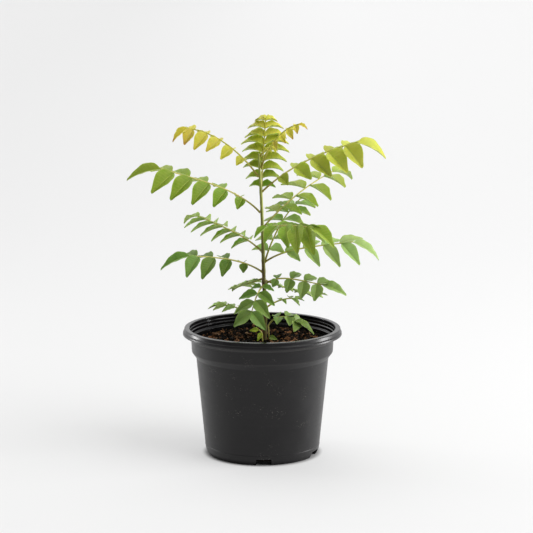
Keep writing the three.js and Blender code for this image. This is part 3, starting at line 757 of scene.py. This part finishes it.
def frond_plan(name, line, radii, leaflets, youth, seed):
    """A rachis line, with one loose point for each leaflet that says how that leaflet lies."""
    plan = line_mesh(name, line, radii)
    mesh = plan.data
    start = len(mesh.vertices)
    mesh.vertices.add(len(leaflets))
    for label in ("leaflet", "length", "half_width", "curl", "oblique", "luck", "youth"):
        mesh.attributes.new(label, "FLOAT", "POINT")
    for label in ("along", "face"):
        mesh.attributes.new(label, "FLOAT_VECTOR", "POINT")
    young, younger = youth
    for index in range(start):
        mesh.attributes["youth"].data[index].value = mix(young, younger, index / (start - 1))
    random = Random(seed)
    for index, leaflet in enumerate(leaflets, start):
        mesh.vertices[index].co = leaflet["root"] * MM
        values = dict(
            leaflet=1, length=leaflet["length"] * MM, half_width=leaflet["half_width"] * MM,
            curl=radians(leaflet["curl"]), oblique=leaflet["oblique"], luck=random.random(),
            youth=mix(young, younger, leaflet["age"]) + random.uniform(-YOUTH_DRAW, YOUTH_DRAW))
        for label, value in values.items():
            mesh.attributes[label].data[index].value = value
        for label in ("along", "face"):
            mesh.attributes[label].data[index].vector = leaflet[label]
    return plan


# One leaflet for each loose point of the plan: a folded, slightly wavy blade on a short stalk, closed all
# round, with a raised midrib underneath.
blades, blade_in, blade_end = new_group(
    "leaflet blades", "Geometry",
    {"Points": "Geometry", "Columns": 11, "Rows": 21, "Thickness": 0.0004,
     "Fold": tan(radians(LEAFLET_FOLD)), "Wave": 0.0004, "Midrib": 0.00035, "Material": "Material"},
    {"Blades": "Geometry"})
sheet = node(blades, "GeometryNodeMeshGrid", {
    "Size X": 2.0, "Size Y": 1.0, "Vertices X": blade_in["Columns"], "Vertices Y": blade_in["Rows"]})
flat = store(out(sheet), "across", coordinate(position(blades), "X"))
flat = store(flat, "travel", coordinate(position(blades), "Y") + 0.5)
sheets = repeated(store(blade_in["Points"], "root", position(blades), "FLOAT_VECTOR"), flat)

across, travel = read(blades, "across"), read(blades, "travel")
along, face = read(blades, "along", "FLOAT_VECTOR"), read(blades, "face", "FLOAT_VECTOR")
length, half_width, curl, luck = (read(blades, name) for name in ("length", "half_width", "curl", "luck"))

# Half-width along the blade, over its widest: a very short stalk, a wedge-shaped base, and a drawn-out tip.
BLADE_OUTLINE = [
    (0, 0), (0.01, 0.08), (0.035, 0.12), (0.07, 0.36), (0.12, 0.6), (0.2, 0.83), (0.29, 0.97), (0.38, 1),
    (0.48, 0.955), (0.58, 0.84), (0.67, 0.68), (0.76, 0.51), (0.85, 0.36), (0.92, 0.26), (0.97, 0.18), (1, 0),
]
# The curve rounds the outline's corners off a little, and this widens it again.
FULLNESS = 1.04
# How much of its length a blade sweeps to either side, and a bend too small to see, for a straight blade.
SWEEP, LEAST_BEND = 0.1, 0.0001
# Ripples of the margin; then in metres, the midrib's width, the stalk's extra thickness, and how close two
# skins are where they join.
RIPPLES, RIB_WIDTH, STALK_THICKNESS, JOINED = 21.0, 0.00055, 0.0004, 0.000002

# Columns crowd towards the midrib, and rows towards the stalk and the tip.
side = sum_of("SIGN", across)
a = side * sum_of("ABSOLUTE", across) ** 1.3
s = travel * 0.5 + (0.5 - sum_of("COSINE", travel * pi) * 0.5) * 0.5
outline = node(blades, "ShaderNodeFloatCurve", {"Value": s})
curve = outline.mapping.curves[0]
for x, y in BLADE_OUTLINE[1:-1]:
    curve.points.new(x, y)
curve.points[-1].location = BLADE_OUTLINE[-1]
outline.mapping.update()
half = out(outline) * half_width * FULLNESS
angle = curl * s
reach = sum_of("SINE", angle) / (curl + LEAST_BEND) * length
middle_drop = (1.0 - sum_of("COSINE", angle)) / (curl + LEAST_BEND) * length
root = read(blades, "root", "FLOAT_VECTOR")
sweep = (luck - 0.5) * SWEEP * length * s * s
crosswise = sum_of("CROSS_PRODUCT", face, along)
middle = root + along * reach - face * middle_drop + crosswise * sweep
normal = along * sum_of("SINE", angle) + face * sum_of("COSINE", angle)
x = a * half * (1.0 + side * read(blades, "oblique"))
spine = sum_of("ABSOLUTE", a)
ripple = sum_of("SINE", s * RIPPLES + luck * 40.0 + side * 1.4)
ripple = ripple * blade_in["Wave"] * spine ** 3.0 * out(outline)
lift = sum_of("ABSOLUTE", x) * blade_in["Fold"] * (1.12 - spine * 0.2) + ripple
stalk_part = 1.0 - ramp(s, 0.03, 0.08)
thick = (blade_in["Thickness"] + stalk_part * STALK_THICKNESS) * (1.0 - spine ** 6.0) * 0.5
rib = blade_in["Midrib"] * sum_of("EXPONENT", (x / RIB_WIDTH) ** 2.0 * -1.0) * (1.0 - s * 0.75)
rib = rib * ramp(s, 0.0, 0.08)
upper = moved(sheets, Position=middle + crosswise * x + normal * (lift + thick))
lower = moved(sheets, Position=middle + crosswise * x + normal * (lift - thick - rib))
under = out(node(blades, "GeometryNodeFlipFaces", {"Mesh": lower}))
skins = together(store(upper, "below", 0.0, domain="FACE"), store(under, "below", 1.0, domain="FACE"))
chart = out(node(blades, "ShaderNodeCombineXYZ", {"X": across * 0.5 + 0.5, "Y": s}))
charted = store(skins, "blade", chart, "FLOAT2", "CORNER")
closed = node(blades, "GeometryNodeMergeByDistance", {"Geometry": charted, "Distance": JOINED})
connect(blade_end, Blades=painted(out(closed), blade_in["Material"]))

leafy, leafy_in, leafy_end = new_group(
    "frond", "Geometry", {"Plan": "Geometry", "Blade": "Material", "Rachis": "Material"},
    {"Frond": "Geometry"})
parted = node(leafy, "GeometryNodeSeparateGeometry", {
    "Geometry": leafy_in["Plan"], "Selection": sum_of("GREATER_THAN", read(leafy, "leaflet"), 0.5)})
rachis = use(leafy, stalk, {
    "Line": out(parted, "Inverted"), "Sides": 10, "Unevenness": 0.00012, "Material": leafy_in["Rachis"]})
foliage = use(leafy, blades, {"Points": out(parted, "Selection"), "Material": leafy_in["Blade"]})
connect(leafy_end, Frond=together(out(rachis), out(foliage)))

# What all leaflets share: side veins that curve off the midrib, paler midrib and margin, blotches, a dull
# pale underside, and tips that brown on the youngest.
LEAF_COLOURS = ("Blade", "Young blade", "Vein", "Underside", "Tip")
leaf_skin, skin_in, skin_end = new_group(
    "leaf skin", "Shader", {**dict.fromkeys(LEAF_COLOURS, "Color"), "Vein pairs": 11.0},
    {"Color": "Color", "Roughness": "Float", "Height": "Float"})
chart = out(node(leaf_skin, "ShaderNodeUVMap", uv_map="blade"), "UV")
place = on_piece(leaf_skin)
luck, youth, below = (kept(leaf_skin, name) for name in ("luck", "youth", "below"))
side = (coordinate(chart, "X") - 0.5) * 2.0
spine = sum_of("ABSOLUTE", side)
s = coordinate(chart, "Y")
stagger = sum_of("SIGN", side) * 0.22
phase = (s - spine * 0.16 + spine * spine * 0.03) * skin_in["Vein pairs"] + stagger + luck * 3.0
from_vein = sum_of("ABSOLUTE", sum_of("FRACT", phase) - 0.5) * 2.0
vein = ramp(from_vein, 0.72, 0.96) * (1.0 - spine * 0.5)
midrib = 1.0 - ramp(spine, 0.05, 0.14)
margin = ramp(spine, 0.9, 0.985)
net = 1.0 - ramp(cells_at(place, 1100.0, "DISTANCE_TO_EDGE"), 0.02, 0.14)
cloud = noise_at(place, 160, 4, 0.6)
mottle = noise_at(place, 620, 3, 0.6)
fresh = blend(ramp(youth + (cloud - 0.5) * 0.35, 0.0, 1.0, smooth=False), skin_in["Blade"],
              skin_in["Young blade"])
varied = out(node(leaf_skin, "ShaderNodeHueSaturation", {
    "Hue": 0.5 + (luck - 0.5) * 0.02, "Saturation": 1.0, "Value": 0.86 + luck * 0.28, "Color": fresh}))
tinted = blend((mottle - 0.3) * 0.25, varied, skin_in["Vein"])
tinted = blend(ramp(s, 0.6, 1.0) * ramp(youth, 0.62, 1.0), tinted, skin_in["Tip"])
tinted = blend(margin * 0.4 + net * 0.08, tinted, skin_in["Vein"])
tinted = blend(vein * 0.3, tinted, skin_in["Vein"])
top_side = blend(midrib * 0.65, tinted, skin_in["Vein"])
dull = blend(0.55 + vein * 0.15 + midrib * 0.3, tinted, skin_in["Underside"])
colour = blend(below, top_side, dull)
quilt = (1.0 - from_vein * from_vein) * (1.0 - midrib)
ridges = (vein * 0.5 + net * 0.15) * (below * 2.0 - 1.0) + quilt * (1.0 - below * 2.0) * 0.6
connect(skin_end, Color=colour, Roughness=0.36 + mottle * 0.14 + below * 0.22,
        Height=ridges + mottle * 0.2)


def leaf_material(name, *colours):
    """A leaf blade of one age, with its own colours; light shines through it a little."""
    material, tree, shader = new_material(
        name, IOR=1.42, Specular_IOR_Level=0.3, Sheen_Weight=0.06, Sheen_Roughness=0.4,
        Subsurface_Weight=0.25, Subsurface_Scale=0.0006, Subsurface_Radius=(0.7, 1.0, 0.15))
    skin = use(tree, leaf_skin, {label: (*colour, 1) for label, colour in zip(LEAF_COLOURS, colours)})
    dust = use(tree, grit, {"Place": on_piece(tree), "Amount": 0.04})
    dusty = blend(out(dust, "Film"), out(skin, "Color"), (0.4, 0.38, 0.3, 1))
    drive(shader, dusty, out(skin, "Roughness"), out(skin, "Height"), depth=0.00016, strength=0.6)
    return material


LEAF = {
    "leaf_old": leaf_material(
        "mature_leaf", (0.08, 0.195, 0.004), (0.48, 0.64, 0.22), (0.3, 0.4, 0.09), (0.38, 0.48, 0.2),
        (0.5, 0.6, 0.14)),
    "leaf_green": leaf_material(
        "full_grown_leaf", (0.13, 0.295, 0.005), (0.7, 0.65, 0.08), (0.44, 0.52, 0.1), (0.46, 0.56, 0.2),
        (0.64, 0.52, 0.06)),
    "leaf_new": leaf_material(
        "new_leaf", (0.34, 0.47, 0.03), (0.76, 0.64, 0.05), (0.7, 0.64, 0.18), (0.62, 0.56, 0.14),
        (0.52, 0.24, 0.02)),
}

rachis_skin, tree, shader = new_material(
    "leaf_stalk", IOR=1.42, Specular_IOR_Level=0.25, Subsurface_Weight=0.15, Subsurface_Scale=0.0006,
    Subsurface_Radius=(0.6, 1.0, 0.2))
travel, youth = kept(tree, "travel"), kept(tree, "youth")
streak = noise_at(on_piece(tree), 420, 4, 0.6)
colour = blend(streak, (0.46, 0.42, 0.09, 1), (0.78, 0.72, 0.26, 1))
colour = blend(ramp(youth, 0.25, 0.85) * 0.85, colour, (0.4, 0.4, 0.015, 1))
colour = blend((1.0 - ramp(travel, 0.05, 0.35)) * 0.8, colour, (0.16, 0.13, 0.01, 1))
drive(shader, colour, 0.42 + streak * 0.18, streak, depth=0.0001, strength=0.5)


def rachis_radii(count):
    """Thickness along a rachis, flared where it leaves the bark."""
    return [mix(RACHIS_BASE_RADIUS, RACHIS_TIP_RADIUS, index / (count - 1))
            * (1 + FLARE * exp(-index * FLARE_FADE)) for index in range(count)]


def dress(plan, cad_node, slot):
    """Grows a frond or shoot from its plan, and puts it in the place of its solid."""
    piece = grown(plan, leafy, Blade=LEAF[slot], Rachis=rachis_skin)
    shade(piece, STALK_CREASE)
    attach(piece, "root")
    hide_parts(cad_node)


# Fronds that start below each height, in millimetres, have these leaves.
NEW_GROWTH = {"leaf_old": 200, "leaf_green": 275, "leaf_new": 400}

for index, name in enumerate(FRONDS):
    if name == "side_shoot":
        continue
    frond = frond_from(name)
    line = rachis_line(frond)
    inward = line[0] - (line[1] - line[0]).normalized() * (GAP + INTO_BARK)
    slot = next(slot for slot, top in NEW_GROWTH.items() if frond.height < top)
    seed = FIRST_SEED + index
    plan = frond_plan(f"{name}_leaves", [inward, *line], rachis_radii(len(line) + 1),
                      leaflets_of(frond, line, seed), frond.youth, seed)
    dress(plan, name, slot)

# ---------------- shoots at the stem's foot
# Two suckers come up out of the soil beside the stem: one ends in the lowest frond and carries a small basal
# leaf, and the other is a short stalk with two small leaves.

SIDE_STALK = [(6.8, -1.2, 104), (6.6, -1.2, 118), (6.2, -0.5, 124)]
SMALL_STALK = [(0.4, -4.4, 104), (0.1, -4.4, 118), (-0.6, -4.4, 123), (-3.4, -4.4, 126.2)]
STALK_RADIUS, STALK_SMOOTHING = 0.75, 5
BASAL_LENGTH, BASAL_HALF_WIDTH, BASAL_CURL = 9.5, 2.4, 14
STALK_LEAN = Vector((0, -0.85, 0.5))


def basal_leaf(root, to):
    """A single small leaf that leans to the front; `to` is the way it points."""
    along = Vector(to).normalized()
    face = along.cross(STALK_LEAN).normalized().cross(along)
    return dict(root=Vector(root), along=along, face=face, length=BASAL_LENGTH,
                half_width=BASAL_HALF_WIDTH, curl=BASAL_CURL, age=0.5, oblique=0)


def smooth_line(points):
    """A smooth line through a few points."""
    points = [Vector(point) for point in points]
    ends = [points[0] * 2 - points[1], *points, points[-1] * 2 - points[-2]]
    line = []
    for before, start, end, after in zip(ends, ends[1:], ends[2:], ends[3:]):
        for step in range(STALK_SMOOTHING):
            t = step / STALK_SMOOTHING
            line.append(0.5 * (start * 2 + (end - before) * t
                               + (before * 2 - start * 5 + end * 4 - after) * t * t
                               + (start * 3 - before - end * 3 + after) * t ** 3))
    return line + [points[-1]]


frond = frond_from("side_shoot")
line = rachis_line(frond)
stalk_line = smooth_line([*SIDE_STALK, line[0]])
leaflets = leaflets_of(frond, line, FIRST_SEED) + [basal_leaf(SIDE_STALK[1], (0.85, -0.45, -0.1))]
radii = [STALK_RADIUS] * (len(stalk_line) - 1)
radii += [mix(STALK_RADIUS, RACHIS_TIP_RADIUS, step / RACHIS_STEPS) for step in range(len(line))]
plan = frond_plan("side_shoot_leaves", stalk_line[:-1] + line, radii, leaflets, frond.youth, FIRST_SEED)
dress(plan, "side_shoot", "leaf_old")

line = smooth_line(SMALL_STALK)
leaflets = [basal_leaf(SMALL_STALK[3], (-1, -0.1, -0.05)), basal_leaf(SMALL_STALK[2], (-0.5, -0.45, -0.74))]
radii = [mix(STALK_RADIUS, RACHIS_TIP_RADIUS, step / (len(line) - 1)) for step in range(len(line))]
plan = frond_plan("small_shoot_leaves", line, radii, leaflets, (0.3, 0.4), FIRST_SEED + 50)
dress(plan, "small_shoot", "leaf_green")

# ---------------- studio
# A pale sheet that glows a little and fills the view, with painted light brighter to the right and a painted
# shadow under the pot where it does not glow; a soft high light from the right and a fainter one from behind,
# two small lamps low at the sides that edge the pot, and a room that is brighter at the back.

# In metres: the sheet's radius, how far from the middle it starts to glow, leaving a painted shadow under the
# pot, and where the small lamps point.
SHEET_RADIUS, PAINTED_SHADOW_EDGE, LAMP_AIM = 18, (0.055, 0.062), (0, 0, 0.06)

floor_mesh = bmesh.new()
bmesh.ops.create_circle(floor_mesh, cap_ends=True, segments=96, radius=SHEET_RADIUS)
floor = finished("studio_floor", floor_mesh)
paper, tree, shader = new_material(
    "pale_acrylic", Roughness=0.9, Specular_IOR_Level=0.1, Base_Color=(0.42, 0.42, 0.42, 1),
    Emission_Strength=1.0)
place = on_piece(tree)
sideways = coordinate(place, "X")
from_pot = out(node(tree, "ShaderNodeVectorMath", {0: place}, operation="LENGTH"), "Value")
# Painted shadow: no glow under the pot. Painted light: the glow is brighter towards the right, the key
# light's side.
beyond_painted_shadow = ramp(from_pot, *PAINTED_SHADOW_EDGE)
glow = blend(ramp(sideways, -0.9, 0.5), (0.34, 0.34, 0.34, 1), (0.43, 0.43, 0.43, 1))
glow = blend(beyond_painted_shadow, (0, 0, 0, 1), glow)
tree.links.new(glow.socket, shader.inputs["Emission Color"])
floor.data.materials.append(paper)

world = bpy.data.worlds.new("soft_room")
world.use_nodes = True
tree = world.node_tree
toward = on_piece(tree)
brightness = 0.12 + ramp(coordinate(toward, "Y"), -0.1, 0.9) * 0.8
brightness = brightness + ramp(coordinate(toward, "Z"), 0.05, 0.9) * 0.3
background = tree.nodes["Background"]
background.inputs["Color"].default_value = (1, 1, 1, 1)
tree.links.new(brightness.socket, background.inputs["Strength"])
bpy.context.scene.world = world


def lamp(name, kind, place, aim, **settings):
    """A light at a place, in metres, that shines towards another."""
    light = bpy.data.lights.new(name, kind)
    for label, value in settings.items():
        setattr(light, label, value)
    made = new_object(name, light)
    made.location = place
    made.rotation_euler = (Vector(aim) - Vector(place)).to_track_quat("-Z", "Y").to_euler()


lamp("key", "SUN", (0, 0, 0), (-0.85, 0.4, -0.8), energy=2.0, angle=radians(45))
lamp("back", "SUN", (0, 0, 0), (0.35, -0.6, -0.95), energy=0.8, angle=radians(60))
small = dict(kind="AREA", aim=LAMP_AIM, shape="DISK", diffuse_factor=0.03)
lamp("left_edge", place=(-1.3, 0.5, 0.12), size=0.2, energy=5.6, **small)
lamp("right_edge", place=(1.3, 0.2, 0.16), size=0.3, energy=10, **small)

FOCAL_PIXELS, FRAME_PIXELS, SENSOR = 2006.7, 533, 36
CAMERA_TARGET, CAMERA_DISTANCE = Vector((4.14, 0, 189.6)) * MM, 2.0
CAMERA_PITCH = radians(10.13)
camera_data = bpy.data.cameras.new("camera")
camera_data.sensor_width = SENSOR
camera_data.lens = SENSOR * FOCAL_PIXELS / FRAME_PIXELS
camera_data.clip_end = 60
camera = new_object("camera", camera_data)
back = Vector((0, -cos(CAMERA_PITCH), sin(CAMERA_PITCH)))
camera.location = CAMERA_TARGET + CAMERA_DISTANCE * back
camera.rotation_euler = (pi / 2 - CAMERA_PITCH, 0, 0)
bpy.context.scene.camera = camera
bpy.context.scene.view_settings.view_transform = "Standard"
